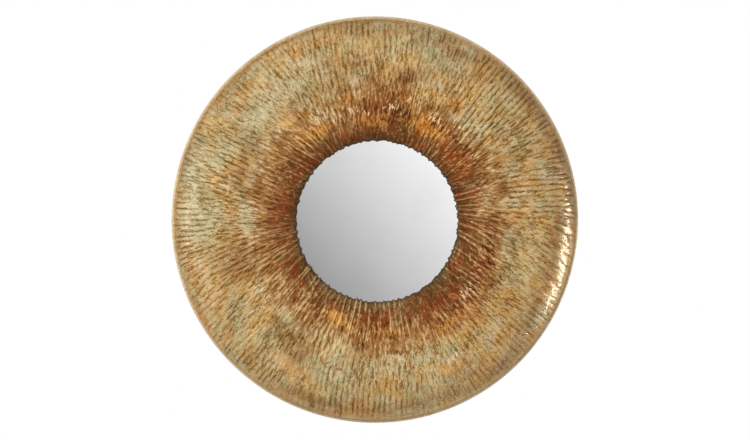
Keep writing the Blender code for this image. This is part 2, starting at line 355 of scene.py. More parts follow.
# The finish is a torch patina under clear lacquer: copper red burnt in round the lip, gold and
# tan over the dome, amber where the two meet, umber and copper near the edge, and pale verdigris
# in patches. Reach is where the burnt colour runs further out, worn where the lip is rubbed dull,
# and bare where pale metal shows in flecks.
# Each stain: its kind, its azimuth, its share of the way from lip to edge, its width in degrees,
# its depth as a share of that way, and its strength.
STAINS = (
    ("verdigris", 70, 0.78, 12, 0.11, 0.7),
    ("verdigris", 122, 0.62, 13, 0.14, 0.8),
    ("verdigris", 138, 0.60, 10, 0.16, 1.0),
    ("verdigris", 167, 0.86, 14, 0.14, 1.0),
    ("verdigris", 180, 0.74, 10, 0.22, 1.0),
    ("verdigris", 157, 0.68, 9, 0.10, 1.0),
    ("verdigris", 130, 0.90, 14, 0.07, 0.6),
    ("verdigris", 180, 0.38, 9, 0.08, 0.9),
    ("verdigris", 255, 0.60, 9, 0.14, 1.0),
    ("verdigris", 287, 0.50, 8, 0.11, 0.65),
    ("verdigris", 118, 0.25, 8, 0.07, 0.7),
    ("verdigris", 12, 0.25, 8, 0.10, 0.4),
    ("verdigris", 350, 0.42, 8, 0.10, 0.5),
    ("verdigris", 48, 0.42, 9, 0.10, 0.6),
    ("amber", 62, 0.20, 14, 0.09, 0.95),
    ("amber", 92, 0.15, 14, 0.08, 0.85),
    ("amber", 122, 0.20, 12, 0.08, 0.9),
    ("amber", 35, 0.14, 12, 0.06, 0.6),
    ("amber", 310, 0.34, 20, 0.05, 0.7),
    ("amber", 275, 0.24, 14, 0.06, 0.6),
    ("amber", 248, 0.18, 12, 0.06, 1.0),
    ("amber", 27, 0.44, 5, 0.07, 0.8),
    ("amber", 2, 0.44, 5, 0.07, 0.7),
    ("amber", 328, 0.60, 8, 0.11, 0.65),
    ("amber", 316, 0.45, 8, 0.09, 0.7),
    ("amber", 56, 0.46, 7, 0.07, 0.85),
    ("amber", 105, 0.66, 5, 0.07, 0.6),
    ("amber", 126, 0.38, 8, 0.06, 0.62),
    ("amber", 132, 0.26, 7, 0.05, 0.60),
    ("amber", 103, 0.34, 6, 0.06, 0.6),
    ("amber", 76, 0.36, 6, 0.06, 0.5),
    ("copper", 310, 0.20, 14, 0.09, 0.75),
    ("copper", 172, 0.15, 24, 0.12, 0.8),
    ("copper", 100, 0.08, 26, 0.05, 0.75),
    ("copper", 342, 0.24, 10, 0.14, 0.6),
    ("copper", 90, 0.24, 9, 0.10, 0.6),
    ("copper", 78, 0.52, 5, 0.09, 0.7),
    ("copper", 318, 0.36, 10, 0.08, 0.6),
    ("copper", 105, 0.50, 5, 0.08, 0.4),
    ("copper", 24, 0.91, 20, 0.07, 0.58),
    ("copper", 64, 0.84, 13, 0.06, 0.62),
    ("copper", 278, 0.86, 20, 0.06, 0.58),
    ("copper", 314, 0.86, 14, 0.06, 0.66),
    ("umber", 157, 0.50, 8, 0.08, 0.6),
    ("umber", 195, 0.52, 11, 0.19, 1.0),
    ("umber", 240, 0.60, 5, 0.12, 0.7),
    ("umber", 252, 0.87, 18, 0.06, 0.7),
    ("umber", 310, 0.90, 16, 0.05, 0.7),
    ("umber", 30, 0.89, 26, 0.06, 0.65),
    ("umber", 42, 0.94, 34, 0.04, 0.75),
    ("umber", 8, 0.90, 14, 0.06, 0.45),
    # Painted shade: this band darkens the shoulder just inside the highlight on the right.
    ("umber", 345, 0.80, 34, 0.045, 0.8),
    ("umber", 74, 0.55, 11, 0.07, 0.8),
    ("umber", 105, 0.63, 10, 0.05, 0.55),
    ("umber", 122, 0.94, 32, 0.03, 0.55),
    ("reach", 84, 0.42, 14, 0.17, 0.9),
    ("reach", 318, 0.33, 20, 0.12, 0.8),
    ("reach", 196, 0.50, 10, 0.16, 0.5),
    ("reach", 346, 0.27, 16, 0.08, 0.8),
    ("reach", 45, 0.22, 17, 0.09, 0.7),
    ("reach", 275, 0.36, 12, 0.08, 0.4),
    ("worn", 317, 0.03, 12, 0.06, 0.95),
    ("worn", 250, 0.00, 55, 0.07, 1.0),
    ("bare", 34, 0.27, 6, 0.05, 0.85),
    ("bare", 48, 0.33, 6, 0.05, 0.95),
    ("bare", 60, 0.28, 7, 0.07, 1.05),
    ("bare", 72, 0.34, 6, 0.06, 0.95),
    ("bare", 81, 0.27, 6, 0.07, 1.0),
    ("bare", 94, 0.21, 5, 0.05, 0.9),
    ("bare", 103, 0.26, 6, 0.06, 1.0),
    ("bare", 112, 0.24, 6, 0.06, 1.0),
    ("bare", 121, 0.30, 7, 0.08, 1.12),
    ("bare", 134, 0.36, 7, 0.06, 0.9),
    ("bare", 322, 0.26, 8, 0.07, 1.12),
    ("bare", 20, 0.36, 12, 0.05, 0.6),
    ("bare", 210, 0.42, 12, 0.08, 0.6),
    ("bare", 248, 0.47, 8, 0.06, 0.7),
    ("bare", 255.3, 0.49, 0.6, 0.030, 1.5),
    ("bare", 257.3, 0.58, 1.8, 0.013, 1.5),
    ("copper", 254.6, 0.61, 0.55, 0.035, 1.5),
    ("copper", 256.0, 0.56, 1.6, 0.013, 1.4),
    ("bare", 220, 0.54, 34, 0.24, 0.40),
    ("bare", 350, 0.64, 26, 0.14, 0.55),
    ("bare", 186, 0.86, 15, 0.09, 0.65),
    ("bare", 120, 0.66, 40, 0.20, 0.35),
    ("bare", 180, 0.66, 14, 0.10, 0.6),
)


def patch(azimuth, where, wide, deep):
    """A soft-edged patch on the ring, 1 in its middle."""
    off = degrees_from(azimuth, around)
    return np.exp(-((off / wide) ** 2) - ((share - where) / deep) ** 2)


stain_weights = {}
for kind, azimuth, where, wide, deep, strength in STAINS:
    so_far = stain_weights.get(kind, np.zeros(count))
    stain_weights[kind] = np.maximum(so_far, strength * patch(azimuth, where, wide, deep))

# Places made darker (below 0) or lighter (above 0) in tone, placed as the stains are.
REGION_TONE_SHIFTS = (
    (12, 0.04, 18, 0.06, -0.11),
    (38, 0.15, 9, 0.06, -0.09),
    (22, 0.45, 8, 0.05, 0.06),
    (20, 0.70, 11, 0.08, 0.07),
    (38, 0.87, 10, 0.06, -0.08),
    (52, 0.58, 8, 0.07, 0.09),
    (80, 0.20, 10, 0.08, -0.11),
    (97, 0.36, 8, 0.07, 0.11),
    (96, 0.58, 12, 0.09, -0.17),
    (88, 0.87, 20, 0.06, -0.09),
    (112, 0.18, 9, 0.14, 0.15),
    (112, 0.46, 7, 0.05, -0.07),
    (143, 0.50, 9, 0.08, -0.08),
    (143, 0.68, 9, 0.08, -0.10),
    (142, 0.90, 12, 0.08, -0.07),
    (157, 0.26, 9, 0.08, 0.18),
    (157, 0.64, 9, 0.07, -0.08),
    (186, 0.31, 10, 0.10, 0.09),
    (186, 0.68, 11, 0.08, -0.06),
    (202, 0.40, 8, 0.10, -0.16),
    (200, 0.05, 8, 0.05, 0.10),
    (217, 0.15, 9, 0.12, -0.09),
    (216, 0.40, 8, 0.09, 0.20),
    (232, 0.46, 9, 0.09, -0.27),
    (262, 0.34, 8, 0.15, -0.07),
    (272, 0.12, 8, 0.12, -0.05),
    (289, 0.08, 8, 0.10, 0.08),
    (277, 0.38, 9, 0.08, 0.13),
    (291, 0.55, 10, 0.10, 0.10),
    (310, 0.12, 10, 0.12, -0.07),
    (323, 0.12, 7, 0.06, -0.11),
    (316, 0.04, 10, 0.05, -0.12),
    (140, 0.955, 50, 0.02, -0.20),
    (95, 0.955, 20, 0.02, -0.12),
    (321, 0.26, 7, 0.06, 0.15),
    (338, 0.63, 11, 0.07, 0.10),
    (353, 0.58, 9, 0.09, 0.07),
    (353, 0.14, 9, 0.07, -0.07),
    (302, 0.96, 12, 0.05, 0.10),
    (10, 0.95, 26, 0.04, -0.07),
)
region_tone_shifts = sum(strength * patch(*place) for *place, strength in REGION_TONE_SHIFTS)

# The grain runs outwards over the face and the bead and leans as the strokes do: the way round as
# a direction, with the distance along the curve in metres.
on_rim = zone == RIM
lengths = np.linspace(0.0, face_length, FACE_RINGS)
along = np.where(on_back | on_face | on_rim, np.interp(turn, face_turns, lengths), 0.0)
along = along + np.where(on_rim, np.abs(radius - foot_radius) + foot_height - height, 0.0)
bearing = around - lean_at(around) * (share - 0.5) * way_across / np.maximum(radius, opening_radius)
grain = np.stack((np.cos(bearing), np.sin(bearing), along), axis=-1)
dome_mesh.vertices.foreach_set("co", ring_place(radius, height, around).astype(np.float32).ravel())
grain_layer = dome_mesh.attributes.new("grain", "FLOAT_VECTOR", "POINT")
grain_layer.data.foreach_set("vector", grain.astype(np.float32).ravel())
point_values = {
    "zone": zone,
    "ridge": ridge,
    "groove": groove,
    "chance": chance + groove_chance,
    "share": share,
    "tone_shift": region_tone_shifts,
    **stain_weights,
}
for name, values in point_values.items():
    layer = dome_mesh.attributes.new(name, "FLOAT", "POINT")
    layer.data.foreach_set("value", values.astype(np.float32))
bm.clear()
bm.from_mesh(dome_mesh)
bmesh.ops.remove_doubles(bm, verts=bm.verts, dist=1e-6)
bmesh.ops.recalc_face_normals(bm, faces=bm.faces)
zone_layer = bm.verts.layers.float["zone"]
for face in bm.faces:
    zones = [vert[zone_layer] for vert in face.verts]
    face.material_index = int(min(zones) >= RIM and max(zones) >= BACK)
bm.to_mesh(dome_mesh)
bm.free()
dome_mesh.attributes.remove(dome_mesh.attributes["zone"])
dome_mesh.shade_smooth()
dome_mesh.set_sharp_from_angle(angle=math.radians(DOME_SHARP_DEGREES))
dome = placed("domed_ring", dome_mesh)


def srgb(red, green, blue):
    """A linear colour from the 0 to 255 values a colour chart gives."""
    linear = []
    for value in (red, green, blue):
        level = value / 255
        linear.append(level / 12.92 if value <= 10 else ((level + 0.055) / 1.055) ** 2.4)
    return (*linear, 1.0)


class Finish:
    """A node tree under construction: short calls that add its nodes and join them."""

    def __init__(self, tree):
        self.tree = tree

    def add(self, kind, *inputs, **settings):
        """Adds a node, with values or sockets for its first inputs in order."""
        node = self.tree.nodes.new(kind)
        for name, value in settings.items():
            setattr(node, name, value)
        for socket, value in zip(node.inputs, inputs):
            self.put(socket, value)
        return node

    def put(self, socket, value):
        if isinstance(value, bpy.types.NodeSocket):
            self.tree.links.new(value, socket)
        else:
            socket.default_value = value

    def attribute(self, name, output="Fac"):
        return self.add("ShaderNodeAttribute", attribute_name=name).outputs[output]

    def object_place(self):
        return self.add("ShaderNodeTexCoord").outputs["Object"]

    def noise(self, vector, scale, detail=3.0, roughness=0.55):
        node = self.add("ShaderNodeTexNoise")
        self.put(node.inputs["Vector"], vector)
        self.put(node.inputs["Scale"], scale)
        self.put(node.inputs["Detail"], detail)
        self.put(node.inputs["Roughness"], roughness)
        return node.outputs["Fac"]

    def math(self, operation, *inputs, clamp=False):
        return self.add("ShaderNodeMath", *inputs, operation=operation, use_clamp=clamp).outputs["Value"]

    def vector_math(self, operation, *inputs):
        return self.add("ShaderNodeVectorMath", *inputs, operation=operation).outputs["Vector"]

    def scaled(self, vector, factor):
        node = self.add("ShaderNodeVectorMath", vector, operation="SCALE")
        self.put(node.inputs["Scale"], factor)
        return node.outputs["Vector"]

    def blend_of(self, start, *parts):
        """The start plus each value's difference from a half, times its weight."""
        total = start
        for value, weight in parts:
            centred = self.math("MULTIPLY_ADD", value, weight, -0.5 * weight)
            total = self.math("ADD", total, centred)
        return total

    def step(self, value, low, high, to_low=0.0, to_high=1.0):
        """Runs smoothly from one value at low to another at high."""
        limits = (value, low, high, to_low, to_high)
        node = self.add("ShaderNodeMapRange", *limits, interpolation_type="SMOOTHSTEP")
        return node.outputs["Result"]

    def ramp(self, value, *stops):
        node = self.add("ShaderNodeValToRGB", value)
        elements = node.color_ramp.elements
        while len(elements) < len(stops):
            elements.new(0.5)
        for element, (position, colour) in zip(elements, stops):
            element.position = position
            element.color = srgb(*colour)
        return node.outputs["Color"]

    def mix(self, amount, a, b, blend="MIX"):
        node = self.add("ShaderNodeMix", data_type="RGBA", blend_type=blend)
        self.put(node.inputs["Factor"], amount)
        self.put(node.inputs[6], a)
        self.put(node.inputs[7], b)
        return node.outputs[2]

    def bump(self, height, strength, distance):
        node = self.add("ShaderNodeBump")
        node.inputs["Strength"].default_value = strength
        node.inputs["Distance"].default_value = distance
        self.put(node.inputs["Height"], height)
        return node.outputs["Normal"]

    def use(self, group, *inputs):
        """Places a node group and returns its first output."""
        node = self.tree.nodes.new("ShaderNodeGroup")
        node.node_tree = group
        for socket, value in zip(node.inputs, inputs):
            self.put(socket, value)
        return node.outputs[0]


def new_finish(name):
    material = bpy.data.materials.new(name)
    material.use_nodes = True
    return material, Finish(material.node_tree), material.node_tree.nodes["Principled BSDF"]


def new_group(name, inputs, output):
    """A shared effect with named inputs and one named value out."""
    tree = bpy.data.node_groups.new(name, "ShaderNodeTree")
    for label, kind in inputs:
        tree.interface.new_socket(label, in_out="INPUT", socket_type=kind)
    tree.interface.new_socket(output, in_out="OUTPUT", socket_type="NodeSocketFloat")
    start = tree.nodes.new("NodeGroupInput")
    end = tree.nodes.new("NodeGroupOutput")
    return tree, Finish(tree), start.outputs, end.inputs[0]


# Chisel marks in rows: strokes of one row's length, with the same spacing all over the dome.
# Each row starts afresh, its strokes end at their own places, and two sets of rows overlap by
# half a row, each strongest where the other starts afresh.
ROWS_WIDENING = 0.78
ROW_STAGGER = 0.731
chisel_rows, rows, given, marks_out = new_group(
    "chisel_rows",
    (
        ("Grain", "NodeSocketVector"),
        ("Row Length", "NodeSocketFloat"),
        ("Scale", "NodeSocketFloat"),
        ("Seed", "NodeSocketFloat"),
    ),
    "Marks",
)
split = rows.add("ShaderNodeSeparateXYZ", given["Grain"])
direction = rows.vector_math("MULTIPLY", given["Grain"], (1.0, 1.0, 0.0))
wobble = rows.math("MULTIPLY", rows.noise(direction, 3.0, 2.0), 4.0)
ragged = rows.math("MULTIPLY", rows.noise(direction, 70.0, 1.0), 2.2)
steps_out = rows.math("DIVIDE", split.outputs["Z"], given["Row Length"])
steps_out = rows.math("ADD", steps_out, rows.math("ADD", wobble, ragged))
steps_out = rows.math("ADD", steps_out, given["Seed"])
sets = []
for start in (0.0, 0.5):
    shifted = rows.math("ADD", steps_out, start)
    row = rows.math("FLOOR", shifted)
    row_reach = rows.math("MULTIPLY", row, given["Row Length"])
    row_radius = rows.math("MULTIPLY_ADD", row_reach, ROWS_WIDENING, opening_radius)
    spread = rows.scaled(direction, row_radius)
    drawn_out = rows.math("MULTIPLY", split.outputs["Z"], 0.25)
    apart = rows.math("ADD", rows.math("MULTIPLY_ADD", row, ROW_STAGGER, drawn_out), start)
    offset = rows.add("ShaderNodeCombineXYZ", 0.0, 0.0, apart).outputs["Vector"]
    place = rows.vector_math("ADD", spread, offset)
    sets.append((rows.noise(place, given["Scale"], 2.0, 0.6), rows.math("FRACT", shifted)))
(first, part), (second, _) = sets
away = rows.math("ABSOLUTE", rows.math("MULTIPLY_ADD", part, 2.0, -1.0))
away = rows.step(away, 0.15, 0.85)
marks = rows.math("MULTIPLY_ADD", rows.math("SUBTRACT", second, first), away, first)
rows.put(marks_out, marks)

# Row length in metres, scale and seed of the broad and the fine marks.
BROAD_MARKS = (0.015, 185.0, 0.0)
FINE_MARKS = (0.008, 390.0, 0.4)
# Noise lies about evenly in metres where the grain's direction is taken out to 0.25 m.
MIDDLE_RADIUS = (0.25, 0.25, 1.0)
torch_patina, patina, shader = new_finish("torch_patina")
grain_place = patina.attribute("grain", "Vector")
ridge_top = patina.attribute("ridge")
groove_bottom = patina.attribute("groove")
stroke_chance = patina.attribute("chance")
way_out = patina.attribute("share")
around_place = patina.vector_math("MULTIPLY", grain_place, MIDDLE_RADIUS)
blotch_place = patina.vector_math("MULTIPLY", around_place, (1.0, 1.0, 0.7))
chip_place = patina.vector_math("MULTIPLY", around_place, (1.0, 1.0, 0.6))
hue_place = patina.vector_math("ADD", around_place, (3.1, 0.0, 1.7))
bleach_place = patina.vector_math("ADD", around_place, (7.3, 2.0, 0.4))
strokes = patina.use(chisel_rows, grain_place, *BROAD_MARKS)
fine_strokes = patina.use(chisel_rows, grain_place, *FINE_MARKS)
clouds = patina.noise(around_place, 20.0, 4.0, 0.6)
blotches = patina.noise(blotch_place, 62.0, 4.0, 0.62)
hue_patches = patina.noise(hue_place, 26.0, 4.0, 0.62)
bleach = patina.noise(bleach_place, 32.0, 4.0, 0.64)
specks = patina.noise(around_place, 520.0, 2.0, 0.6)
chips = patina.noise(chip_place, 120.0, 3.0, 0.7)

# Light or dark at each spot: rib tops are rubbed pale, and lacquer stays dark in the grooves. The
# marks are strongest in the middle of the way out and weakest by the lip and on the bead.
outwards = patina.step(way_out, 0.05, 0.35)
unevenness = patina.blend_of(
    0.0,
    (strokes, 0.85),
    (fine_strokes, 1.0),
    (blotches, 0.5),
    (specks, 0.65),
    (clouds, 0.5),
)
contrast = patina.step(outwards, 0.0, 1.0, 0.62, 1.08)
stronger_from = patina.step(way_out, 0.34, 0.44)
stronger_to = patina.step(way_out, 0.72, 0.60, 0.0, 0.30)
contrast = patina.math("ADD", contrast, patina.math("MULTIPLY", stronger_from, stronger_to))
contrast = patina.math("MULTIPLY", contrast, patina.step(way_out, 0.965, 0.985, 1.0, 0.55))
tone = patina.math("MULTIPLY_ADD", unevenness, contrast, 0.60)
tone = patina.math("ADD", tone, patina.math("MULTIPLY_ADD", ridge_top, 0.50, -0.10))
tone = patina.math("SUBTRACT", tone, patina.math("MULTIPLY_ADD", groove_bottom, 0.50, -0.05))
tone = patina.math("ADD", tone, patina.math("MULTIPLY", stroke_chance, 0.09))
tone = patina.math("SUBTRACT", tone, patina.step(way_out, 0.12, 0.0, 0.0, 0.07))
# Darker or lighter by region, as listed above.
tone = patina.math("ADD", tone, patina.attribute("tone_shift"))
# The middle of the way out is a touch darker, and the rim is painted lighter: painted light on
# the steep foot, which the lamps leave in shade.
darker_from = patina.step(way_out, 0.36, 0.48, 0.0, 0.04)
darker_to = patina.step(way_out, 0.65, 0.50)
tone = patina.math("SUBTRACT", tone, patina.math("MULTIPLY", darker_to, darker_from))
tone = patina.math("ADD", tone, patina.step(way_out, 0.92, 0.96, 0.0, 0.10))


def toned(levels, *colours):
    """A colour that runs from dark lacquer to rubbed metal, with one colour for each tone level."""
    return patina.ramp(tone, *zip(levels, colours))


# The lacquer over the dome: tan, more ginger or sage by patches, bleached to cream or left ochre.
OUTER = (0.05, 0.30, 0.50, 0.70, 0.95)
BURNT = (0.10, 0.38, 0.60, 0.80, 1.00)
warmth = patina.blend_of(
    0.5,
    (hue_patches, 2.9),
    (chips, 0.3),
    (fine_strokes, 0.35),
    (strokes, 0.45),
    (clouds, 1.2),
)
tan = toned(OUTER, (112, 78, 36), (150, 115, 65), (181, 151, 100), (201, 177, 129), (226, 211, 170))
ginger = toned(OUTER, (100, 62, 24), (150, 102, 47), (183, 136, 72), (204, 161, 95), (227, 195, 139))
sage = toned(OUTER, (108, 82, 44), (142, 120, 74), (170, 158, 114), (193, 186, 148), (218, 213, 184))
cream = toned(OUTER, (116, 90, 56), (156, 130, 90), (190, 168, 130), (210, 194, 160), (232, 222, 196))
ochre = toned(OUTER, (100, 66, 22), (144, 105, 46), (178, 140, 76), (201, 167, 102), (226, 199, 142))
russet = toned(OUTER, (88, 54, 20), (120, 77, 34), (140, 94, 46), (160, 115, 65), (196, 162, 112))
brown = toned(BURNT, (52, 28, 10), (88, 50, 20), (114, 72, 34), (144, 108, 64), (178, 146, 98))
red = toned(BURNT, (60, 24, 8), (103, 46, 18), (131, 68, 31), (150, 100, 56), (182, 145, 97))
outer = patina.mix(patina.step(warmth, 0.54, 0.86, 0.0, 0.9), tan, ginger)
outer = patina.mix(patina.step(warmth, 0.46, 0.12, 0.0, 0.8), outer, sage)
outer = patina.mix(patina.step(bleach, 0.53, 0.66, 0.0, 0.8), outer, cream)
outer = patina.mix(patina.step(bleach, 0.48, 0.36, 0.0, 0.8), outer, ochre)

# Round the lip the finish is burnt brown and red, with a russet seam to the dome's colours.
burnt = patina.mix(patina.step(warmth, 0.35, 0.65), brown, red)
way = patina.blend_of(way_out, (clouds, 0.30), (strokes, 0.26), (blotches, 0.20))
way = patina.math("SUBTRACT", way, patina.math("MULTIPLY", patina.attribute("reach"), 0.17))
colour = patina.mix(patina.step(way, 0.14, 0.28), burnt, russet)
colour = patina.mix(patina.step(way, 0.28, 0.45), colour, outer)


def stained(colour, kind, tint, low, high, most):
    """Lays a stain over the colour in strokes that thin out towards its edge."""
    marks = ((strokes, 1.9), (blotches, 1.0), (fine_strokes, 1.9), (chips, 0.8))
    seen = patina.blend_of(patina.math("MULTIPLY", patina.attribute(kind), 0.85), *marks)
    return patina.mix(patina.step(seen, low, high, 0.0, most), colour, tint)


DULL = (0.10, 0.45, 0.70, 1.00)
BRIGHT = (0.10, 0.40, 0.65, 1.00)
umber = toned(DULL, (92, 54, 22), (142, 97, 50), (170, 128, 76), (202, 165, 110))
verdigris = toned(BRIGHT, (108, 94, 58), (158, 146, 104), (190, 180, 142), (216, 209, 176))
amber = toned(BRIGHT, (104, 52, 14), (166, 97, 31), (198, 132, 52), (230, 184, 108))
copper = toned(DULL, (64, 27, 12), (118, 58, 28), (152, 88, 49), (198, 148, 102))
worn = toned((0.20, 0.55, 0.95), (62, 46, 24), (128, 98, 60), (206, 176, 122))
bare = toned((0.15, 0.50, 0.85), (150, 110, 64), (208, 172, 124), (230, 204, 162))
colour = stained(colour, "umber", umber, 0.28, 0.70, 0.85)
colour = stained(colour, "verdigris", verdigris, 0.22, 0.72, 0.85)
colour = stained(colour, "amber", amber, 0.32, 0.75, 0.85)
colour = stained(colour, "copper", copper, 0.32, 0.75, 0.85)
colour = stained(colour, "worn", worn, 0.05, 0.70, 0.90)
colour = stained(colour, "bare", bare, 0.84, 1.10, 0.90)

# The lip's edge is painted dark, as painted shade where the face drops steeply to the glass.
# Near the rim the finish is warmer, the steep foot and the bead are painted lighter as painted
# light, and a pale line along the bead's edge is a painted highlight.
lip_shade_tint = toned((0.2, 0.9), (54, 44, 28), (124, 106, 70))
rim_painted_light = toned((0.2, 0.6, 1.0), (126, 96, 60), (172, 141, 99), (212, 186, 148))
# Painted shade: the lip's edge darkened where the face drops steeply to the glass.
lip_painted_shade = patina.math("MULTIPLY", patina.step(way_out, 0.018, 0.004), 0.85)
colour = patina.mix(lip_painted_shade, colour, lip_shade_tint)
# Painted light: the foot and bead made lighter than the lamps leave them.
colour = patina.mix(patina.step(way_out, 0.955, 0.980, 0.0, 0.9), colour, rim_painted_light)
near_rim = patina.step(way_out, 0.90, 0.945)
colour = patina.mix(near_rim, colour, srgb(255, 248, 238), "MULTIPLY")
# Painted highlight: a pale cream line along the bead's edge.
colour = patina.mix(patina.step(way_out, 0.975, 0.988, 0.0, 0.65), colour, cream)
patina.put(shader.inputs["Base Color"], colour)

# The lacquer is burnt off round the lip, thin in the grooves and rubbed off the bead.
lacquered = patina.step(way, 0.2, 0.6)
satin = patina.step(strokes, 0.3, 0.7, 0.60, 0.44)
satin = patina.math("SUBTRACT", satin, patina.math("MULTIPLY", lacquered, 0.12))
patina.put(shader.inputs["Roughness"], satin)
patina.put(shader.inputs["Metallic"], patina.step(lacquered, 0.0, 1.0, 0.10, 0.16))
left_in_grooves = patina.step(groove_bottom, 0.15, 0.6, 1.0, 0.35)
left_by_rim = patina.step(way_out, 0.925, 0.945, 1.0, 0.0)
lacquer_left = patina.math("MULTIPLY", left_in_grooves, left_by_rim)
lacquer_left = patina.math("MULTIPLY", lacquer_left, 0.55)
patina.put(shader.inputs["Coat Weight"], patina.math("MULTIPLY", lacquered, lacquer_left))
shader.inputs["Coat Roughness"].default_value = 0.10
shader.inputs["Specular IOR Level"].default_value = 0.10
MARK_DEPTH = 0.0016
relief = patina.math("MULTIPLY", fine_strokes, 0.8)
relief = patina.math("ADD", relief, patina.math("MULTIPLY", specks, 0.35))
relief = patina.math("ADD", relief, patina.math("MULTIPLY", strokes, 0.8))
patina.put(shader.inputs["Normal"], patina.bump(relief, 0.7, MARK_DEPTH))
run_place = patina.vector_math("MULTIPLY", grain_place, (0.37, 0.37, 0.30))
lacquer_runs = patina.math("MULTIPLY", patina.noise(run_place, 125.0, 2.0, 0.6), 1.3)
lacquer_waves = patina.math("ADD", lacquer_runs, patina.math("MULTIPLY", specks, 0.4))
patina.put(shader.inputs["Coat Normal"], patina.bump(lacquer_waves, 0.4, MARK_DEPTH))
dome_mesh.materials.append(torch_patina)

# The inside of the dome was left from the torch: dark iron with blue and brown heat scale.
heat_scale, scale, shader = new_finish("heat_scaled_iron")
scale_grain = scale.attribute("grain", "Vector")
scale_place = scale.vector_math("MULTIPLY", scale_grain, MIDDLE_RADIUS)
scale_clouds = scale.noise(scale_place, 14.0, 5.0, 0.6)
scale_marks = scale.use(chisel_rows, scale_grain, *BROAD_MARKS)
scale_specks = scale.noise(scale_place, 300.0, 3.0, 0.6)
scale_tone = scale.blend_of(scale_clouds, (scale_marks, 0.5), (scale_specks, 0.3))
scale_colour = scale.ramp(
    scale_tone,
    (0.30, (84, 78, 76)),
    (0.46, (108, 92, 78)),
    (0.56, (132, 100, 74)),
    (0.66, (100, 98, 98)),
    (0.80, (128, 114, 98)),
)
scale.put(shader.inputs["Base Color"], scale_colour)
scale.put(shader.inputs["Roughness"], scale.step(scale_clouds, 0.3, 0.7, 0.45, 0.7))
shader.inputs["Metallic"].default_value = 0.15
SCALE_DEPTH = 0.0012
crust = scale.blend_of(scale_specks, (scale_marks, 0.9))
scale.put(shader.inputs["Normal"], scale.bump(crust, 0.5, SCALE_DEPTH))
dome_mesh.materials.append(heat_scale)
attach(dome, "root")
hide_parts("frame")


# The glass is a small disc of 3 mm float glass with ground edges, silvered on its back and
# sealed there with grey paint. It lies against the back of the seat.
GLASS_SEGMENTS = 192
EDGE_GRIND = 0.0006
PLATE_SHARP_DEGREES = 15
PAINT_DEPTH = 0.0004


def eased_piece(bm, name, node, edges, softening, sharp_degrees):
    """A piece in a CAD node's place, with the given edges rounded off."""
    bmesh.ops.bevel(
        bm,
        geom=edges,
        offset=softening,
        offset_type="OFFSET",
        affect="EDGES",
        segments=2,
        profile=0.5,
        material=-1,
    )
    mesh = bpy.data.meshes.new(name)
    bm.to_mesh(mesh)
    bm.free()
    mesh.shade_smooth()
    mesh.set_sharp_from_angle(angle=math.radians(sharp_degrees))
    piece = placed(name, mesh)
    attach(piece, "root")
    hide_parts(node)
    return piece


def round_plate(name, node, segments, softening):
    """A disc in a CAD node's place, its edges eased by a small chamfer."""
    low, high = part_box(node)
    bm = bmesh.new()
    bmesh.ops.create_cone(
        bm,
        cap_ends=True,
        segments=segments,
        radius1=(high.x - low.x) / 2,
        radius2=(high.x - low.x) / 2,
        depth=high.y - low.y,
        matrix=Matrix.Translation((low + high) / 2) @ Matrix.Rotation(math.pi / 2, 4, "X"),
    )
    rims = [edge for edge in bm.edges if abs(edge.verts[0].co.y - edge.verts[1].co.y) < 1e-5]
    return eased_piece(bm, name, node, rims, softening, PLATE_SHARP_DEGREES)


glass = round_plate("silvered_disc", "mirror_glass", GLASS_SEGMENTS, EDGE_GRIND)
dust_film, film, given, dust_out = new_group(
    "dust_film",
    (("Place", "NodeSocketVector"), ("Amount", "NodeSocketFloat")),
    "Dust",
)
drift = film.noise(given["Place"], 9.0, 4.0, 0.6)
motes = film.noise(given["Place"], 900.0, 2.0, 0.5)
motes = film.math("MULTIPLY", film.step(motes, 0.62, 0.72), 0.6)
dust = film.math("ADD", film.step(drift, 0.40, 0.75), motes)
film.put(dust_out, film.math("MULTIPLY", dust, given["Amount"]))

silvering, silver, shader = new_finish("silvered_glass")
glass_dust = silver.use(dust_film, silver.object_place(), 1.0)
clear = silver.ramp(glass_dust, (0.0, (241, 241, 241)), (1.0, (236, 236, 236)))
silver.put(shader.inputs["Base Color"], clear)
silver.put(shader.inputs["Roughness"], silver.step(glass_dust, 0.0, 1.6, 0.010, 0.05))
shader.inputs["Metallic"].default_value = 1.0
ground_edge, ground, shader = new_finish("ground_glass_edge")
grit = ground.noise(ground.object_place(), 1500.0, 2.0, 0.6)
frosted = ground.ramp(grit, (0.3, (104, 130, 120)), (0.7, (150, 172, 162)))
ground.put(shader.inputs["Base Color"], frosted)
shader.inputs["Roughness"].default_value = 0.55
sealing_paint, paint, shader = new_finish("grey_sealing_paint")
roller = paint.noise(paint.object_place(), 240.0, 3.0, 0.6)
rolled_grey = paint.ramp(roller, (0.3, (104, 106, 108)), (0.7, (122, 124, 126)))
paint.put(shader.inputs["Base Color"], rolled_grey)
paint.put(shader.inputs["Normal"], paint.bump(roller, 0.3, PAINT_DEPTH))
shader.inputs["Roughness"].default_value = 0.6
for material in (silvering, ground_edge, sealing_paint):
    glass.data.materials.append(material)
FRONT, ROUND, BEHIND = range(3)
FLAT_NORMAL = 0.99
for polygon in glass.data.polygons:
    polygon.material_index = ROUND
    if abs(polygon.normal.y) > FLAT_NORMAL:
        polygon.material_index = FRONT if polygon.normal.y < 0 else BEHIND


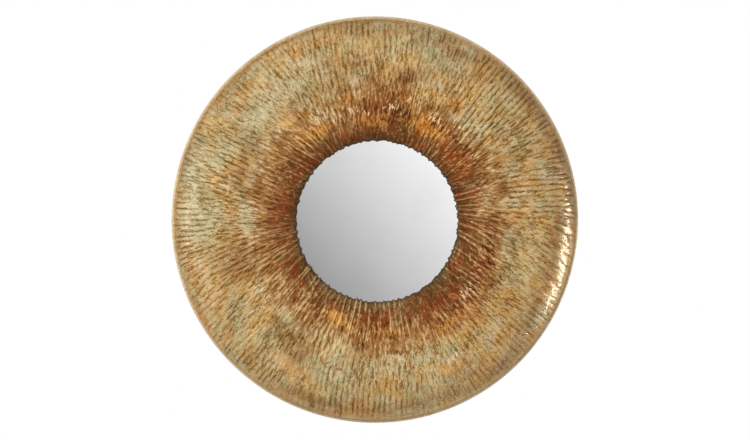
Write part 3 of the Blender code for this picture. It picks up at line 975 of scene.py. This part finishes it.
# The backing board is a disc of brown hardboard, its smooth face to the glass and the print of
# the press's wire screen on its back. It keeps the silvering from scratches.
BOARD_SEGMENTS = 144
BOARD_SOFTENING = 0.0004
SCREEN_WIRE_SPACING = 0.0016
PRINT_DEPTH = 0.0004
board = round_plate("hardboard_disc", "backing_board", BOARD_SEGMENTS, BOARD_SOFTENING)
pressed_board, fibre, shader = new_finish("pressed_hardboard")
board_place = fibre.object_place()
fibre_place = fibre.vector_math("MULTIPLY", board_place, (1.0, 1.0, 3.0))
fibres = fibre.noise(fibre_place, 420.0, 4.0, 0.65)
patches = fibre.noise(board_place, 24.0, 3.0, 0.6)
split = fibre.add("ShaderNodeSeparateXYZ", board_place)
wires = 2 * math.pi / SCREEN_WIRE_SPACING
wires_x = fibre.math("SINE", fibre.math("MULTIPLY", split.outputs["X"], wires))
wires_z = fibre.math("SINE", fibre.math("MULTIPLY", split.outputs["Z"], wires))
screen = fibre.math("MULTIPLY", wires_x, wires_z)
board_dust = fibre.use(dust_film, board_place, 0.15)
board_colour = fibre.ramp(
    fibre.blend_of(patches, (fibres, 1.2)),
    (0.25, (92, 64, 44)),
    (0.50, (108, 77, 53)),
    (0.75, (126, 92, 65)),
)
fibre.put(shader.inputs["Base Color"], fibre.mix(board_dust, board_colour, srgb(150, 136, 118)))
shader.inputs["Roughness"].default_value = 0.8
print_and_fibres = fibre.math("MULTIPLY_ADD", screen, 0.5, fibres)
fibre.put(shader.inputs["Normal"], fibre.bump(print_and_fibres, 0.5, PRINT_DEPTH))
board.data.materials.append(pressed_board)


# Six tabs bent from 1.2 mm strip iron, spot-welded by the foot to the back of the seat. Each is
# pressed down over the board's edge by hand. They and the strap have one coat of black paint.
TAB_SOFTENING = 0.0003
FLAT_DEGREES = 1
CORNER_DEGREES = 30
COPY_SHARP_DEGREES = 20


def softened_copy(name, node, softening):
    """A piece in a CAD node's place and form, with its sharp edges rounded off."""
    bm = bmesh.new()
    bm.from_mesh(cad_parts[node].data)
    bmesh.ops.remove_doubles(bm, verts=bm.verts, dist=1e-5)
    flat = math.radians(FLAT_DEGREES)
    bmesh.ops.dissolve_limit(bm, angle_limit=flat, verts=bm.verts, edges=bm.edges)
    corner = math.radians(CORNER_DEGREES)
    corners = [edge for edge in bm.edges if edge.is_manifold and edge.calc_face_angle() > corner]
    return eased_piece(bm, name, node, corners, softening, COPY_SHARP_DEGREES)


black_paint, black, shader = new_finish("brushed_black_paint")
paint_place = black.object_place()
brush_place = black.vector_math("MULTIPLY", paint_place, (0.2, 1.0, 1.0))
brush_strokes = black.noise(brush_place, 380.0, 3.0, 0.6)
large_chips = black.noise(paint_place, 55.0, 5.0, 0.7)
small_chips = black.noise(paint_place, 420.0, 2.0, 0.6)
chips = black.blend_of(large_chips, (small_chips, 0.5))
paint_dust = black.use(dust_film, paint_place, 0.3)
black_colour = black.ramp(brush_strokes, (0.3, (30, 29, 28)), (0.7, (44, 42, 40)))
rust = black.ramp(brush_strokes, (0.3, (92, 62, 42)), (0.7, (120, 96, 78)))
black_colour = black.mix(black.step(chips, 0.66, 0.72), black_colour, rust)
black_colour = black.mix(paint_dust, black_colour, srgb(120, 112, 102))
black.put(shader.inputs["Base Color"], black_colour)
black.put(shader.inputs["Roughness"], black.step(brush_strokes, 0.3, 0.7, 0.38, 0.52))
black.put(shader.inputs["Normal"], black.bump(brush_strokes, 0.35, PAINT_DEPTH))
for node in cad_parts:
    if node.startswith("board_clip_"):
        tab = softened_copy(node.replace("board_clip", "bent_tab"), node, TAB_SOFTENING)
        tab.data.materials.append(black_paint)


# The strap is a flat bar of 30 by 3 mm iron, sheared to the curve of the rim and welded to it at
# both ends. Two keyholes take the heads of the wall screws. It is painted black with the tabs.
WELD_BEADS = 9
WELD_RADIUS = 0.0024
WELD_INSET = 0.0006
WELD_LIFT = 0.0002
WELD_FLATNESS = 0.6
WELD_LENGTH = 1.15
WELD_LENGTH_VARIES = 0.15
STRAP_SOFTENING = 0.0004
strap = softened_copy("keyhole_strap", "hanging_strap", STRAP_SOFTENING)
strap.data.materials.append(black_paint)
strap_low, strap_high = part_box("hanging_strap")
weld_reach = foot_radius - SHEET - WELD_INSET
bm = bmesh.new()
for side in (-1, 1):
    for bead in range(WELD_BEADS):
        z = strap_low.z + (strap_high.z - strap_low.z) * (bead + 0.5) / WELD_BEADS
        x = side * math.sqrt(weld_reach**2 - (z - ring_centre.z) ** 2)
        long = WELD_LENGTH + WELD_LENGTH_VARIES * math.sin(3.0 * bead)
        place = Matrix.Translation((x, strap_low.y + WELD_LIFT, z))
        place = place @ Matrix.Diagonal((1.0, WELD_FLATNESS, long, 1.0))
        bmesh.ops.create_uvsphere(
            bm, u_segments=14, v_segments=8, radius=WELD_RADIUS, matrix=place
        )
weld_mesh = bpy.data.meshes.new("strap_welds")
bm.to_mesh(weld_mesh)
bm.free()
weld_mesh.shade_smooth()
weld_mesh.materials.append(black_paint)
welds = placed("strap_welds", weld_mesh)
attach(welds, "root")


# The studio: a pale floor well below the mirror, a large soft box above that the ring doesn't
# mirror, a weak one on the left, and a graded card in front for the glass. A tilted strip low on
# the right, a little behind the ring, is seen only in the highlight along the shoulder.
FLOOR_DROP = 1.25
FLOOR_HALF_WIDTH = 4.0


def square_sheet(name, half_width, place):
    """A flat square sheet of the studio, laid out by a matrix."""
    mesh = bpy.data.meshes.new(name)
    bm = bmesh.new()
    bmesh.ops.create_grid(bm, x_segments=1, y_segments=1, size=half_width, matrix=place)
    bm.to_mesh(mesh)
    bm.free()
    return placed(name, mesh)


floor_place = Matrix.Translation((0, 0, ring_centre.z - FLOOR_DROP))
floor = square_sheet("floor", FLOOR_HALF_WIDTH, floor_place)
pale_floor, paper, shader = new_finish("pale_floor")
mottle = paper.noise(paper.object_place(), 3.0)
paper_white = paper.ramp(mottle, (0.3, (242, 241, 240)), (0.7, (244, 243, 242)))
paper.put(shader.inputs["Base Color"], paper_white)
shader.inputs["Roughness"].default_value = 0.8
floor.data.materials.append(pale_floor)
floor.visible_glossy = False


def soft_box(name, offset, width, height, power):
    """A rectangular lamp at an offset from the ring's centre, which it faces."""
    lamp = bpy.data.lights.new(name, "AREA")
    lamp.shape = "RECTANGLE"
    lamp.size = width
    lamp.size_y = height
    lamp.energy = power
    holder = placed(name, lamp)
    holder.location = ring_centre + Vector(offset)
    holder.rotation_euler = (-Vector(offset)).to_track_quat("-Z", "Y").to_euler()
    return holder


STRIP_TILT_DEGREES = 36.0
box_above = soft_box("box_above", (-0.6, -2.3, 1.0), 1.6, 1.2, 40.0)
box_above.visible_glossy = False
strip = soft_box("strip_right", (1.70, 0.23, -0.385), 0.22, 0.88, 21.0)
strip.rotation_euler.rotate_axis("Z", math.radians(STRIP_TILT_DEGREES))
strip.visible_diffuse = False
strip.data.color = (1.0, 0.94, 0.83)
soft_box("box_left", (-1.9, -0.5, 0.1), 1.0, 1.2, 10.0)

# The card is brighter towards its upper right: how steeply to the right and up, how far from its
# middle the grading reaches, and its dimmest and brightest.
CARD_DISTANCE = 3.6
CARD_HALF_WIDTH = 0.9
CARD_SLOPE = (0.75, 0.0, 0.66)
CARD_REACH = 0.34
CARD_DIM = 0.375
CARD_BRIGHT = 1.02
card_place = Matrix.Translation((ring_centre.x, -CARD_DISTANCE, ring_centre.z))
card_place = card_place @ Matrix.Rotation(math.pi / 2, 4, "X")
card = square_sheet("graded_card", CARD_HALF_WIDTH, card_place)
card_glow = bpy.data.materials.new("graded_card")
card_glow.use_nodes = True
card_glow.node_tree.nodes.clear()
glow = Finish(card_glow.node_tree)
slope = glow.add(
    "ShaderNodeVectorMath", glow.object_place(), CARD_SLOPE, operation="DOT_PRODUCT"
)
level = ring_centre.z * CARD_SLOPE[2]
limits = (level - CARD_REACH, level + CARD_REACH, CARD_DIM, CARD_BRIGHT)
brightness = glow.add("ShaderNodeMapRange", slope.outputs["Value"], *limits)
shine = glow.add("ShaderNodeEmission", (1.0, 1.0, 1.0, 1.0), brightness.outputs["Result"])
glow.put(glow.add("ShaderNodeOutputMaterial").inputs["Surface"], shine.outputs["Emission"])
card.data.materials.append(card_glow)
card.visible_camera = False
card.visible_diffuse = False
card.visible_shadow = False

# White paper all round for the camera, and a dimmer room for what the metal mirrors.
ROOM_LIGHT = 0.705
ROOM_MIRRORED = 0.28
world = bpy.data.worlds.new("studio")
bpy.context.scene.world = world
world.use_nodes = True
world.node_tree.nodes.clear()
sky = Finish(world.node_tree)
rays = sky.add("ShaderNodeLightPath").outputs
room = sky.math("MULTIPLY_ADD", rays["Is Glossy Ray"], ROOM_MIRRORED - ROOM_LIGHT, ROOM_LIGHT)
room = sky.math("MULTIPLY_ADD", rays["Is Camera Ray"], 1.0 - ROOM_LIGHT, room)
backdrop = sky.add("ShaderNodeBackground", (1.0, 1.0, 1.0, 1.0), room)
sky.put(sky.add("ShaderNodeOutputWorld").inputs["Surface"], backdrop.outputs["Background"])
